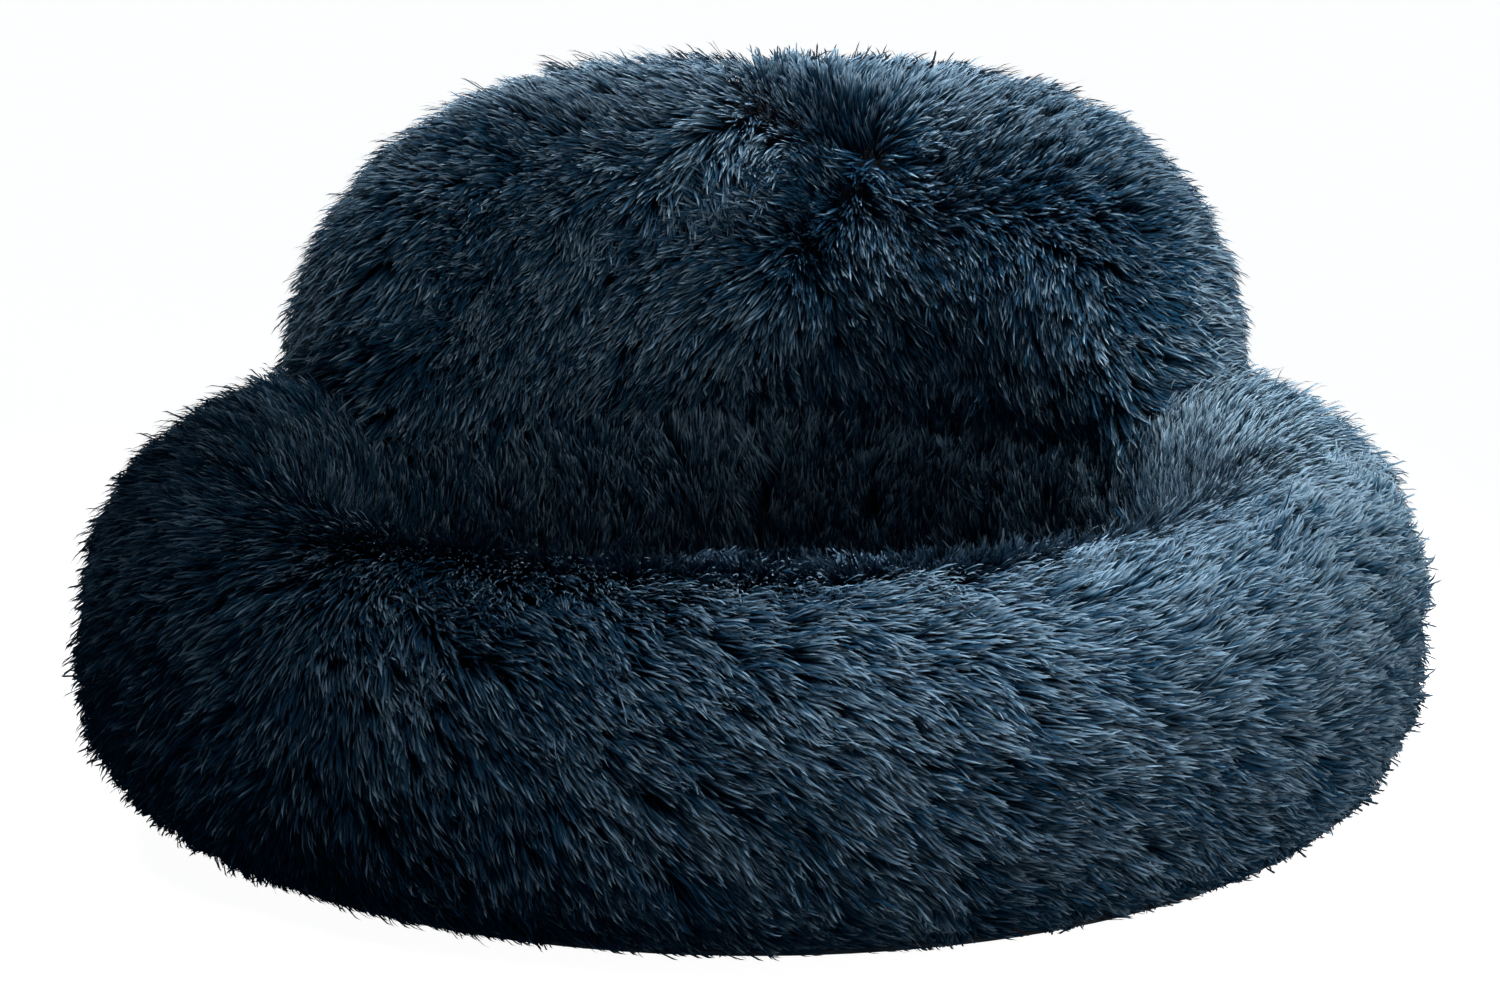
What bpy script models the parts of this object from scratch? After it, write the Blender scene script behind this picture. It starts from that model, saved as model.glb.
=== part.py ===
"""Donut pet bed: a fur bolster ring with a half-moon backrest, a seat pad and a zipped base.

Lengths are in metres and +Z is up. The nest opens to the front at -Y, and the origin lies on the
floor under the ring's centre. Every soft layer follows one cross-section of the ring, or one form
of the backrest, at its own depth below the tips of the pile.
"""
import math

import bmesh
import bpy
from mathutils import Matrix, Vector

# Bolster ring, over the tips of the pile
RING_CENTRE_RADIUS = 0.361
RING_HALF_WIDTH = 0.089
RING_HALF_HEIGHT = 0.118
CROWN_FULLNESS = 2.09
OUTER_FOOT_FULLNESS = 2.42
INNER_FOOT_FULLNESS = 4.0

# Backrest, over the tips of the pile
BACK_SETBACK = 0.035
BACK_SINK = 0.072
BACK_RADIUS = RING_CENTRE_RADIUS - BACK_SETBACK
BACK_FOOT_HEIGHT = 2.0 * RING_HALF_HEIGHT - BACK_SINK
BACK_RISE = 0.274
BACK_HALF_DEPTH = 0.078
BACK_HALF_SPAN = math.radians(66.1)
BACK_LEAN_SHARE = 0.078
BACK_LEFT_FULLNESS = 2.80
BACK_RIGHT_FULLNESS = 3.20
BACK_FOLD_DEPTH = 0.010
BACK_FOLD_OFFSET = 0.038
BACK_FOLD_WIDTH = 0.060
BACK_FOLD_RISE = 0.221
BACK_FOLD_REACH = 0.075

# Layers of cloth, pile and filling
PILE_DEPTH = 0.020
HEM_ALLOWANCE = 0.0005
HEM_BLEND_HEIGHT = 0.060
LINER_THICKNESS = 0.0015
CLOTH_GAP = 0.0003

# Seat pad
SEAT_CROWN_HEIGHT = 0.104
SEAT_SHOULDER_HEIGHT = 0.086
SEAT_EDGE_HEIGHT = 0.056
SEAT_SHOULDER_INSET = 0.024
SEAT_CROWN_FULLNESS = 2.6
SEAT_PLUSH_DEPTH = 0.008
SEAT_UNDERLAY_THICKNESS = 0.0012

# Base cloth with moulded grip dots
BASE_THICKNESS = 0.003
BASE_EDGE_HEIGHT = 0.014
GRIP_DOT_RADIUS = 0.007
GRIP_DOT_HEIGHT = 0.0012
GRIP_DOT_PITCH = 0.120
SEAM_BINDING_HEIGHT = 0.005
SEAM_BINDING_DEPTH = 0.0022

# Zip at the rear of the base seam
ZIP_HALF_SPAN = math.radians(30.0)
ZIP_NOTCH_CLEARANCE = 0.0015
ZIP_END_MARGIN = 0.010
TAPE_WIDTH = 0.009
TAPE_THICKNESS = 0.0006
TOOTH_PITCH = 0.005
TOOTH_REACH = 0.0016
TOOTH_FLANK = 0.0003
TOOTH_ROOT = 0.0010
TOOTH_THICKNESS = 0.0024
TOOTH_CLEARANCE = 0.0003
STOP_LENGTH = 0.004

# Slider and pull
SLIDER_LENGTH = 0.0140
SLIDER_MOUTH_WIDTH = 0.0096
SLIDER_HEEL_WIDTH = 0.0078
SLIDER_PLATE = 0.0010
SLIDER_CLEARANCE = 0.0004
SLIDER_FLANGE = 0.0009
SLIDER_TAPE_SLOT = 0.0016
SLIDER_POST_LENGTH = 0.0034
SLIDER_POST_WIDTH = 0.0018
SLIDER_CORNER = 0.0016
BAIL_WIRE = 0.0011
BAIL_HALF_LENGTH = 0.0031
BAIL_INNER_HEIGHT = 0.0022
PULL_LENGTH = 0.0240
PULL_HEAD_WIDTH = 0.0044
PULL_WIDTH = 0.0070
PULL_THICKNESS = 0.0011
PULL_PIN_RADIUS = 0.0006
PULL_EYE_LENGTH = 0.0058
PULL_HOLE_RADIUS = 0.0014

# Facets and cutting
RING_STEPS = 36
SECTION_COUNT = 16
SEAT_CROWN_COUNT = 4
SEAT_EDGE_COUNT = 3
BACK_STATIONS = 16
BACK_SECTION_COUNT = 14
ZIP_STEPS = 18
DOT_SIDES = 6
ARCH_COUNT = 8
PIN_SIDES = 10
CUT_OVERRUN = 0.020
MERGE_DISTANCE = 0.00001
REAR = math.radians(90.0)
SHARP_ANGLE = math.radians(40.0)

FUR_COLOUR = (0.035, 0.075, 0.115)
PLUSH_COLOUR = (0.045, 0.090, 0.130)
LINER_COLOUR = (0.80, 0.80, 0.78)
FIBRE_COLOUR = (0.90, 0.90, 0.88)
BASE_COLOUR = (0.015, 0.018, 0.022)
TAPE_COLOUR = (0.020, 0.032, 0.050)
TOOTH_COLOUR = (0.030, 0.040, 0.055)
METAL_COLOUR = (0.200, 0.210, 0.220)


def clear_scene():
    for item in list(bpy.data.objects):
        bpy.data.objects.remove(item, do_unlink=True)


def new_collection(name):
    group = bpy.data.collections.new(name)
    bpy.context.scene.collection.children.link(group)
    return group


def finish(name, colour, roughness, metallic=0.0):
    material = bpy.data.materials.new(name)
    material.use_nodes = True
    shader = material.node_tree.nodes["Principled BSDF"]
    shader.inputs["Base Color"].default_value = (*colour, 1.0)
    shader.inputs["Roughness"].default_value = roughness
    shader.inputs["Metallic"].default_value = metallic
    return material


# Objects from profiles, lofts and outlines
def add_object(name, bm, group, material=None, recalculate=True):
    if recalculate:
        bmesh.ops.remove_doubles(bm, verts=bm.verts, dist=MERGE_DISTANCE)
        bmesh.ops.recalc_face_normals(bm, faces=bm.faces)
    mesh = bpy.data.meshes.new(name)
    bm.to_mesh(mesh)
    bm.free()
    item = bpy.data.objects.new(name, mesh)
    group.objects.link(item)
    if material:
        mesh.materials.append(material)
    else:
        item.hide_render = True
        item.display_type = "WIRE"
    return item


def shade_round(item):
    item.data.shade_smooth()
    item.data.set_sharp_from_angle(angle=SHARP_ANGLE)


def combine(item, other, operation):
    step = item.modifiers.new(other.name, "BOOLEAN")
    step.operation = operation
    step.solver = "EXACT"
    step.object = other


def turned(name, profile, group, material=None):
    """A profile of (radius, height) points turned about Z. It is closed unless it meets the axis."""
    bm = bmesh.new()
    points = [bm.verts.new((radius, 0.0, height)) for radius, height in profile]
    for first, second in zip(points, points[1:]):
        bm.edges.new((first, second))
    if profile[0][0] > 0.0:
        bm.edges.new((points[-1], points[0]))
    item = add_object(name, bm, group, material, recalculate=False)
    screw = item.modifiers.new("turn", "SCREW")
    screw.steps = RING_STEPS
    screw.render_steps = RING_STEPS
    screw.angle = math.tau
    screw.use_merge_vertices = True
    screw.merge_threshold = MERGE_DISTANCE
    return item


def swept(name, profile, start, end, steps, group, material=None):
    """A closed profile of (radius, height) points swept about Z from start to end, with flat ends."""
    bm = bmesh.new()
    turn = Matrix.Rotation(start, 3, "Z")
    points = [bm.verts.new(turn @ Vector((radius, 0.0, height))) for radius, height in profile]
    edges = [bm.edges.new((points[i - 1], points[i])) for i in range(len(points))]
    result = bmesh.ops.spin(bm, geom=points + edges, axis=(0.0, 0.0, 1.0), angle=end - start, steps=steps)
    last = [part for part in result["geom_last"] if isinstance(part, bmesh.types.BMEdge)]
    bmesh.ops.edgeloop_fill(bm, edges=edges)
    bmesh.ops.edgeloop_fill(bm, edges=last)
    return add_object(name, bm, group, material)


def lofted(name, rings, group, material=None):
    """A closed skin over rings of points. A ring of one point closes an end, and others are capped."""
    bm = bmesh.new()
    rows = [[bm.verts.new(point) for point in ring] for ring in rings]
    for low, high in zip(rows, rows[1:]):
        count = max(len(low), len(high))
        for i in range(count):
            here, after = low[i % len(low)], low[(i + 1) % len(low)]
            above, beyond = high[i % len(high)], high[(i + 1) % len(high)]
            for corners in ((here, after, beyond), (here, beyond, above)):
                if len(set(corners)) == 3:
                    bm.faces.new(corners)
    for row in (rows[0], rows[-1]):
        if len(row) > 2:
            bm.faces.new(row)
    return add_object(name, bm, group, material)


def prism(name, outline, low, high, group, material=None):
    """An outline of (x, y) points given a thickness from low to high along Z."""
    rings = [[(x, y, z) for x, y in outline] for z in (low, high)]
    return lofted(name, rings, group, material)


# Cross-section of the ring
def section_point(turn, outer):
    """A point at the pile's tips and the outward normal there, at an angle around the section."""
    across = abs(math.cos(turn))
    up = math.sin(turn)
    foot = OUTER_FOOT_FULLNESS if outer else INNER_FOOT_FULLNESS
    fullness = CROWN_FULLNESS if up >= 0.0 else foot
    x = across ** (2.0 / fullness)
    z = abs(up) ** (2.0 / fullness)
    slope_x = x ** (fullness - 1.0) / RING_HALF_WIDTH
    slope_z = z ** (fullness - 1.0) / RING_HALF_HEIGHT
    length = math.hypot(slope_x, slope_z)
    side = 1.0 if outer else -1.0
    above = 1.0 if up >= 0.0 else -1.0
    radius = RING_CENTRE_RADIUS + side * RING_HALF_WIDTH * x
    height = RING_HALF_HEIGHT * (1.0 + above * z)
    return radius, height, side * slope_x / length, above * slope_z / length


def pile_depth(height):
    """Depth of the pile and its backing: it is pressed thin towards the seams of the base."""
    pressed = BASE_THICKNESS + HEM_ALLOWANCE
    share = min(1.0, max(0.0, (height - base_top()) / HEM_BLEND_HEIGHT))
    return pressed + (PILE_DEPTH - pressed) * share * share * (3.0 - 2.0 * share)


def under_pile(extra):
    return lambda height: pile_depth(height) + extra


def at_depth(depth):
    return lambda height: depth


def crop(points, low, high=math.inf):
    """The stretch of a rising line of (radius, height) points between two heights."""
    kept = []
    for (r0, z0), (r1, z1) in zip(points, points[1:]):
        for level in (low, high):
            if z0 < level < z1:
                share = (level - z0) / (z1 - z0)
                kept.append((r0 + (r1 - r0) * share, level))
        if low <= z1 <= high:
            kept.append((r1, z1))
    if low <= points[0][1] <= high:
        kept.insert(0, points[0])
    return sorted(kept, key=lambda point: point[1])


def half_wall(depth_at, outer, low, high=math.inf):
    """One side of the section from its foot up, at a depth that may change with height."""
    points = []
    for i in range(SECTION_COUNT // 2 + 1):
        turn = math.pi * (2.0 * i / SECTION_COUNT - 0.5)
        radius, height, normal_x, normal_z = section_point(turn, outer)
        depth = depth_at(height)
        points.append((radius - normal_x * depth, height - normal_z * depth))
    return crop(points, low, high)


def wall(depth_at, outer_low, inner_low):
    """A layer of the ring from its outer foot over the crown to its inner foot."""
    outer_side = half_wall(depth_at, True, outer_low)
    inner_side = half_wall(depth_at, False, inner_low)
    return outer_side + inner_side[-2::-1]


def offset_line(points, distance):
    """A line of (radius, height) points moved to its right-hand side."""
    moved = []
    for i, (radius, height) in enumerate(points):
        before = Vector(points[i]) - Vector(points[max(i - 1, 0)])
        after = Vector(points[min(i + 1, len(points) - 1)]) - Vector(points[i])
        before = before.normalized() if before.length else after.normalized()
        after = after.normalized() if after.length else before
        along = (before + after).normalized()
        spread = distance / max(along.dot(before), 0.5)
        moved.append((radius + along.y * spread, height - along.x * spread))
    return moved


# Levels and depths shared by the layers
def base_top():
    return GRIP_DOT_HEIGHT + BASE_THICKNESS


def hem_height():
    return BASE_EDGE_HEIGHT + SEAM_BINDING_HEIGHT + 2.0 * CLOTH_GAP


def ring_floor():
    return base_top() + CLOTH_GAP


def ring_filling_floor():
    return ring_floor() + LINER_THICKNESS + CLOTH_GAP


def seat_floor():
    return base_top() + CLOTH_GAP + SEAT_UNDERLAY_THICKNESS + CLOTH_GAP


def liner_extra():
    return CLOTH_GAP


def filling_extra():
    return CLOTH_GAP + LINER_THICKNESS + CLOTH_GAP


# Bolster ring
def make_ring(group, cutters, fur, liner, fibre):
    tips = wall(at_depth(0.0), hem_height(), ring_floor())
    backing = wall(under_pile(0.0), hem_height(), ring_floor())
    cover = turned("ring_cover", tips[::-1] + backing, group, fur)
    shade_round(cover)
    combine(cover, zip_notch(cutters), "DIFFERENCE")

    floor = ring_filling_floor()
    outside = wall(under_pile(liner_extra()), floor, floor)
    inside = wall(under_pile(liner_extra() + LINER_THICKNESS), floor, floor)
    shade_round(turned("ring_liner_upper", outside[::-1] + inside, group, liner))

    rim = wall(under_pile(liner_extra()), ring_floor(), ring_floor())
    low, high = ring_floor(), ring_floor() + LINER_THICKNESS
    sheet = [(rim[-1][0], low), (rim[-1][0], high), (rim[0][0], high), (rim[0][0], low)]
    turned("ring_liner_lower", sheet, group, liner)

    core = wall(under_pile(filling_extra()), floor, floor)
    shade_round(turned("ring_filling", core[::-1], group, fibre))


def zip_notch(cutters):
    """The room that the zip takes out of the fur's hem at the rear."""
    radius = RING_CENTRE_RADIUS
    reach = RING_HALF_WIDTH + CUT_OVERRUN
    top = zip_top() + CLOTH_GAP
    profile = [(radius, -CUT_OVERRUN), (radius + reach, -CUT_OVERRUN), (radius + reach, top), (radius, top)]
    half = ZIP_HALF_SPAN + ZIP_NOTCH_CLEARANCE / RING_CENTRE_RADIUS
    return swept("zip_notch", profile, REAR - half, REAR + half, ZIP_STEPS, cutters)


# Backrest
def back_point(share, turn, inset):
    """A point of the backrest's form, inset below the tips of its pile."""
    end_fullness = BACK_RIGHT_FULLNESS if share > 0.0 else BACK_LEFT_FULLNESS
    envelope = (1.0 - abs(share) ** end_fullness) ** (1.0 / end_fullness)
    angle = share * (BACK_HALF_SPAN - inset / BACK_RADIUS)
    half_rise = BACK_RISE / 2.0
    height = BACK_FOOT_HEIGHT + envelope * (half_rise + (half_rise - inset) * math.sin(turn))
    half_depth = (BACK_HALF_DEPTH - inset) * math.sqrt(envelope)
    radius = BACK_RADIUS + half_depth * math.cos(turn) + BACK_LEAN_SHARE * (height - BACK_FOOT_HEIGHT)
    beside = (angle * BACK_RADIUS - BACK_FOLD_OFFSET) / BACK_FOLD_WIDTH
    above = (height - BACK_FOOT_HEIGHT - BACK_FOLD_RISE) / BACK_FOLD_REACH
    front = max(0.0, -math.cos(turn))
    radius += BACK_FOLD_DEPTH * front * math.exp(-beside * beside - above * above)
    return radius * math.sin(angle), radius * math.cos(angle), height


def back_form(name, inset, group, material=None):
    rings = []
    for i in range(BACK_STATIONS + 1):
        share = math.sin(math.pi * (i / BACK_STATIONS - 0.5))
        count = 1 if i in (0, BACK_STATIONS) else BACK_SECTION_COUNT
        rings.append([back_point(share, math.tau * j / count, inset) for j in range(count)])
    return lofted(name, rings, group, material)


def ring_block(name, depth, cutters):
    """The whole ring at a depth, as a cutter. A negative depth leaves that much room around it."""
    return turned(name, wall(at_depth(depth), 0.0, 0.0)[::-1], cutters)


def make_backrest(group, cutters, fur, liner, fibre):
    liner_inset = PILE_DEPTH + liner_extra()
    filling_inset = PILE_DEPTH + filling_extra()
    sheet_top = CLOTH_GAP + LINER_THICKNESS
    under_cover = ring_block("ring_with_gap", -CLOTH_GAP, cutters)
    under_sheet = ring_block("ring_with_sheet", -sheet_top, cutters)
    under_liner = ring_block("ring_with_base_cloth", -sheet_top - CLOTH_GAP, cutters)

    cover = back_form("backrest_cover", 0.0, group, fur)
    combine(cover, back_form("backrest_cavity", PILE_DEPTH, cutters), "DIFFERENCE")
    combine(cover, under_cover, "DIFFERENCE")
    shade_round(cover)

    upper = back_form("backrest_liner_upper", liner_inset, group, liner)
    combine(upper, back_form("backrest_liner_cavity", liner_inset + LINER_THICKNESS, cutters), "DIFFERENCE")
    combine(upper, under_liner, "DIFFERENCE")
    shade_round(upper)

    sheet = back_form("backrest_liner_base", liner_inset, group, liner)
    combine(sheet, under_sheet, "INTERSECT")
    combine(sheet, under_cover, "DIFFERENCE")
    shade_round(sheet)

    filling = back_form("backrest_filling", filling_inset, group, fibre)
    combine(filling, under_liner, "DIFFERENCE")
    shade_round(filling)


# Seat pad
def seat_line():
    """The seat from its crown to its foot: a crowned top, a drawn-in edge and the nest's wall."""
    nest = half_wall(at_depth(-CLOTH_GAP), False, seat_floor(), SEAT_EDGE_HEIGHT)
    edge_radius = nest[-1][0]
    shoulder = edge_radius - SEAT_SHOULDER_INSET
    line = []
    for i in range(SEAT_CROWN_COUNT):
        share = i / SEAT_CROWN_COUNT
        fall = (SEAT_CROWN_HEIGHT - SEAT_SHOULDER_HEIGHT) * share ** SEAT_CROWN_FULLNESS
        line.append((shoulder * share, SEAT_CROWN_HEIGHT - fall))
    for i in range(SEAT_EDGE_COUNT):
        turn = math.pi / 2.0 * i / SEAT_EDGE_COUNT
        drop = SEAT_SHOULDER_HEIGHT - SEAT_EDGE_HEIGHT
        radius = shoulder + SEAT_SHOULDER_INSET * math.sin(turn)
        line.append((radius, SEAT_EDGE_HEIGHT + drop * math.cos(turn)))
    return line + nest[::-1]


def inner_seat_line(depth):
    line = offset_line(seat_line(), depth)
    rising = crop(line[:0:-1], seat_floor())
    return [(0.0, line[0][1])] + rising[::-1]


def make_seat(group, plush, liner, fibre):
    cover = seat_line() + inner_seat_line(SEAT_PLUSH_DEPTH)[::-1]
    shade_round(turned("seat_cover", cover, group, plush))
    core = inner_seat_line(SEAT_PLUSH_DEPTH + CLOTH_GAP) + [(0.0, seat_floor())]
    shade_round(turned("seat_filling", core, group, fibre))
    low = base_top() + CLOTH_GAP
    high = low + SEAT_UNDERLAY_THICKNESS
    radius = half_wall(at_depth(-CLOTH_GAP), False, seat_floor())[0][0]
    turned("seat_underlay", [(0.0, high), (radius, high), (radius, low), (0.0, low)], group, liner)


# Base cloth
def make_base(group, cutters, cloth, binding):
    inside = half_wall(at_depth(BASE_THICKNESS), True, base_top(), BASE_EDGE_HEIGHT)
    outside = half_wall(at_depth(0.0), True, GRIP_DOT_HEIGHT, BASE_EDGE_HEIGHT)
    profile = [(0.0, base_top())] + inside + outside[::-1] + [(0.0, GRIP_DOT_HEIGHT)]
    panel = turned("base_panel", profile, group, cloth)
    combine(panel, grip_dots(outside[0][0], cutters), "UNION")

    middle = outside[-1][0] - BASE_THICKNESS / 2.0
    low = BASE_EDGE_HEIGHT + CLOTH_GAP
    near, far = middle - SEAM_BINDING_DEPTH / 2.0, middle + SEAM_BINDING_DEPTH / 2.0
    band = [(near, low), (far, low), (far, low + SEAM_BINDING_HEIGHT), (near, low + SEAM_BINDING_HEIGHT)]
    start = REAR + ZIP_HALF_SPAN + CLOTH_GAP / middle
    end = REAR - ZIP_HALF_SPAN - CLOTH_GAP / middle + math.tau
    steps = round(RING_STEPS * (end - start) / math.tau)
    swept("base_seam_binding", band, start, end, steps, group, binding)


def grip_dots(flat_radius, cutters):
    """Round dots on a triangular grid over the flat of the base, each sunk into the cloth."""
    bm = bmesh.new()
    top = GRIP_DOT_HEIGHT + BASE_THICKNESS / 2.0
    rows = int(flat_radius / GRIP_DOT_PITCH) + 1
    for row in range(-rows, rows + 1):
        for column in range(-rows - 1, rows + 2):
            x = GRIP_DOT_PITCH * (column + 0.5 * (row % 2))
            y = GRIP_DOT_PITCH * row * math.sqrt(3.0) / 2.0
            if math.hypot(x, y) + 2.0 * GRIP_DOT_RADIUS < flat_radius:
                place = Matrix.Translation((x, y, top / 2.0))
                bmesh.ops.create_cone(
                    bm, cap_ends=True, segments=DOT_SIDES, radius1=GRIP_DOT_RADIUS,
                    radius2=GRIP_DOT_RADIUS, depth=top, matrix=place,
                )
    return add_object("grip_dots", bm, cutters)


# Zip
def zip_line():
    """Where the zip's wall starts, above the base cloth's edge, and the way that it rises."""
    foot = half_wall(at_depth(0.0), True, BASE_EDGE_HEIGHT)[0]
    span = 2.0 * (TAPE_WIDTH + TOOTH_ROOT + CLOTH_GAP) + TOOTH_REACH + TOOTH_CLEARANCE
    top = half_wall(at_depth(0.0), True, BASE_EDGE_HEIGHT + span)[0]
    rise = (Vector(top) - Vector(foot)).normalized()
    start = Vector(foot) + Vector((-BASE_THICKNESS / 2.0, 2.0 * CLOTH_GAP))
    return start, rise, span


def zip_place(along, out):
    """The (radius, height) at a distance up the zip's wall and out from its middle plane."""
    start, rise, _ = zip_line()
    return start.x + rise.x * along + rise.y * out, start.y + rise.y * along - rise.x * out


def zip_point(along, out, angle):
    radius, height = zip_place(along, out)
    return Vector((radius * math.cos(angle), radius * math.sin(angle), height))


def zip_top():
    return zip_place(zip_line()[2], -TAPE_THICKNESS / 2.0)[1]


def chain_middle():
    return zip_line()[2] / 2.0


def chain_radius():
    return zip_place(chain_middle(), 0.0)[0]


def chain_angle(length):
    return length / chain_radius()


def slider_angle():
    """The slider's place at rest, drawn up to the stops of the closed end."""
    before = ZIP_END_MARGIN + STOP_LENGTH + CLOTH_GAP + SLIDER_LENGTH / 2.0
    return REAR - ZIP_HALF_SPAN + chain_angle(before)


def chain_start():
    ahead = SLIDER_LENGTH / 2.0 - SLIDER_POST_LENGTH - SLIDER_CLEARANCE
    return slider_angle() - chain_angle(ahead)


def chain_end():
    return REAR + ZIP_HALF_SPAN - chain_angle(ZIP_END_MARGIN + STOP_LENGTH + CLOTH_GAP)


def box_profile(low, high, thickness):
    half = thickness / 2.0
    return [zip_place(low, -half), zip_place(low, half), zip_place(high, half), zip_place(high, -half)]


def tooth_row(name, base, direction, shift, group, material):
    """A row of teeth on its root band. direction is 1 for the lower row and -1 for the upper."""
    flat = TOOTH_PITCH / 2.0 - TOOTH_FLANK * (1.0 - TOOTH_CLEARANCE / TOOTH_REACH) - TOOTH_CLEARANCE
    count = int((chain_end() - chain_start()) / chain_angle(TOOTH_PITCH)) - 1
    root = base + direction * TOOTH_ROOT
    tip = root + direction * TOOTH_REACH
    steps = ((0.0, root), (TOOTH_FLANK, tip), (TOOTH_FLANK + flat, tip), (2.0 * TOOTH_FLANK + flat, root))
    bm = bmesh.new()
    half = TOOTH_THICKNESS / 2.0

    def pair(along, place):
        angle = chain_start() + chain_angle(place)
        return [bm.verts.new(zip_point(along, out, angle)) for out in (-half, half)]

    def close(corners):
        for side in (0, 1):
            bm.faces.new([corner[side] for corner in corners])

    first = pair(base, shift), pair(root, shift)
    bm.faces.new((*first[0], *reversed(first[1])))
    start = first
    for i in range(count):
        place = shift + i * TOOTH_PITCH
        ridge = [start[1]] + [pair(along, place + step) for step, along in steps[1:]]
        end = pair(base, place + TOOTH_PITCH), pair(root, place + TOOTH_PITCH)
        ridge.append(end[1])
        close([start[0], *ridge, end[0]])
        for one, two in zip(ridge, ridge[1:]):
            bm.faces.new((*one, *reversed(two)))
        bm.faces.new((*start[0], *reversed(end[0])))
        start = end
    bm.faces.new((*start[0], *reversed(start[1])))
    return add_object(name, bm, group, material)


def make_chain(group, tape, plastic, metal):
    span = zip_line()[2]
    start = REAR - ZIP_HALF_SPAN + chain_angle(CLOTH_GAP)
    end = REAR + ZIP_HALF_SPAN - chain_angle(CLOTH_GAP)
    lower = box_profile(0.0, TAPE_WIDTH, TAPE_THICKNESS)
    upper = box_profile(span - TAPE_WIDTH, span, TAPE_THICKNESS)
    swept("zip_tape_lower", lower, start, end, ZIP_STEPS, group, tape)
    swept("zip_tape_upper", upper, start, end, ZIP_STEPS, group, tape)

    low = TAPE_WIDTH + CLOTH_GAP
    high = span - low
    tooth_row("zip_teeth_lower", low, 1.0, 0.0, group, plastic)
    tooth_row("zip_teeth_upper", high, -1.0, TOOTH_PITCH / 2.0, group, plastic)

    middle = span / 2.0
    half_gap = CLOTH_GAP / 2.0
    last = REAR - ZIP_HALF_SPAN + chain_angle(ZIP_END_MARGIN)
    stops = last, last + chain_angle(STOP_LENGTH)
    below = box_profile(low, middle - half_gap, TOOTH_THICKNESS)
    above = box_profile(middle + half_gap, high, TOOTH_THICKNESS)
    swept("zip_top_stop_lower", below, *stops, 1, group, metal)
    swept("zip_top_stop_upper", above, *stops, 1, group, metal)
    first = REAR + ZIP_HALF_SPAN - chain_angle(ZIP_END_MARGIN)
    bottom = first - chain_angle(STOP_LENGTH), first
    swept("zip_bottom_stop", box_profile(low, high, TOOTH_THICKNESS), *bottom, 1, group, metal)


def slider_frame():
    """The slider's own axes at rest: X towards its mouth, Y down the wall, Z out of it."""
    angle = slider_angle()
    _, rise, _ = zip_line()
    radial = Vector((math.cos(angle), math.sin(angle), 0.0))
    up = Vector((0.0, 0.0, 1.0))
    mouth = Vector((math.sin(angle), -math.cos(angle), 0.0))
    down = -(radial * rise.x + up * rise.y)
    out = radial * rise.y - up * rise.x
    frame = Matrix((mouth, down, out)).transposed().to_4x4()
    frame.translation = zip_point(chain_middle(), 0.0, angle)
    return frame


def plate_outline():
    """The slider's plate: narrow at the heel, wide at the mouth, with its corners cut."""
    end = SLIDER_LENGTH / 2.0
    heel = SLIDER_HEEL_WIDTH / 2.0
    mouth = SLIDER_MOUTH_WIDTH / 2.0
    corner = SLIDER_CORNER
    half = [
        (-end, heel - corner / 2.0), (-end + corner, heel), (end - corner, mouth), (end, mouth - corner),
    ]
    return half + [(x, -y) for x, y in reversed(half)]


def make_slider(group, cutters, metal):
    """Two plates joined by the post, with flanges that leave a slot for each tape, and a bail."""
    inner = TOOTH_THICKNESS / 2.0 + SLIDER_CLEARANCE
    outer = inner + SLIDER_PLATE
    end = SLIDER_LENGTH / 2.0
    body = prism("zip_slider", plate_outline(), -outer, outer, group, metal)

    sunk = end + CUT_OVERRUN
    heel = SLIDER_HEEL_WIDTH / 2.0 - SLIDER_FLANGE
    mouth = SLIDER_MOUTH_WIDTH / 2.0 - SLIDER_FLANGE
    post = end - SLIDER_POST_LENGTH
    side = SLIDER_POST_WIDTH / 2.0
    channel = [
        (-sunk, heel), (-end, heel), (end, mouth), (sunk, mouth), (sunk, side), (post + side, side),
        (post, 0.0), (post + side, -side), (sunk, -side), (sunk, -mouth), (end, -mouth), (-end, -heel),
        (-sunk, -heel),
    ]
    combine(body, prism("slider_channel", channel, -inner, inner, cutters), "DIFFERENCE")

    wide = SLIDER_MOUTH_WIDTH
    slot = SLIDER_TAPE_SLOT / 2.0
    for name, sign in (("slider_slot_lower", 1.0), ("slider_slot_upper", -1.0)):
        strip = [(-sunk, sign * side), (sunk, sign * side), (sunk, sign * wide), (-sunk, sign * wide)]
        combine(body, prism(name, strip, -slot, slot, cutters), "DIFFERENCE")

    combine(body, bail(outer, cutters), "UNION")
    return body


def bail(plate_top, cutters):
    """A bridge of flat wire on the outer plate, open below for the pull's pin."""
    base = plate_top - SLIDER_PLATE / 2.0
    outer_x = BAIL_HALF_LENGTH + BAIL_WIRE
    outer_z = plate_top + BAIL_INNER_HEIGHT + BAIL_WIRE - base
    inner_z = plate_top + BAIL_INNER_HEIGHT - base
    rings = []
    for i in range(ARCH_COUNT + 1):
        turn = math.pi * i / ARCH_COUNT
        across, up = math.cos(turn), math.sqrt(max(0.0, math.sin(turn)))
        near = (BAIL_HALF_LENGTH * across, base + inner_z * up)
        far = (outer_x * across, base + outer_z * up)
        half = BAIL_WIRE / 2.0
        rings.append([(near[0], -half, near[1]), (far[0], -half, far[1]),
                      (far[0], half, far[1]), (near[0], half, near[1])])
    return lofted("slider_bail", rings, cutters)


def pull_pivot_height():
    """The pull's pin above the middle of the chain."""
    plate_top = TOOTH_THICKNESS / 2.0 + SLIDER_CLEARANCE + SLIDER_PLATE
    return plate_top + SLIDER_CLEARANCE + math.hypot(PULL_PIN_RADIUS, PULL_THICKNESS / 2.0)


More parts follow.
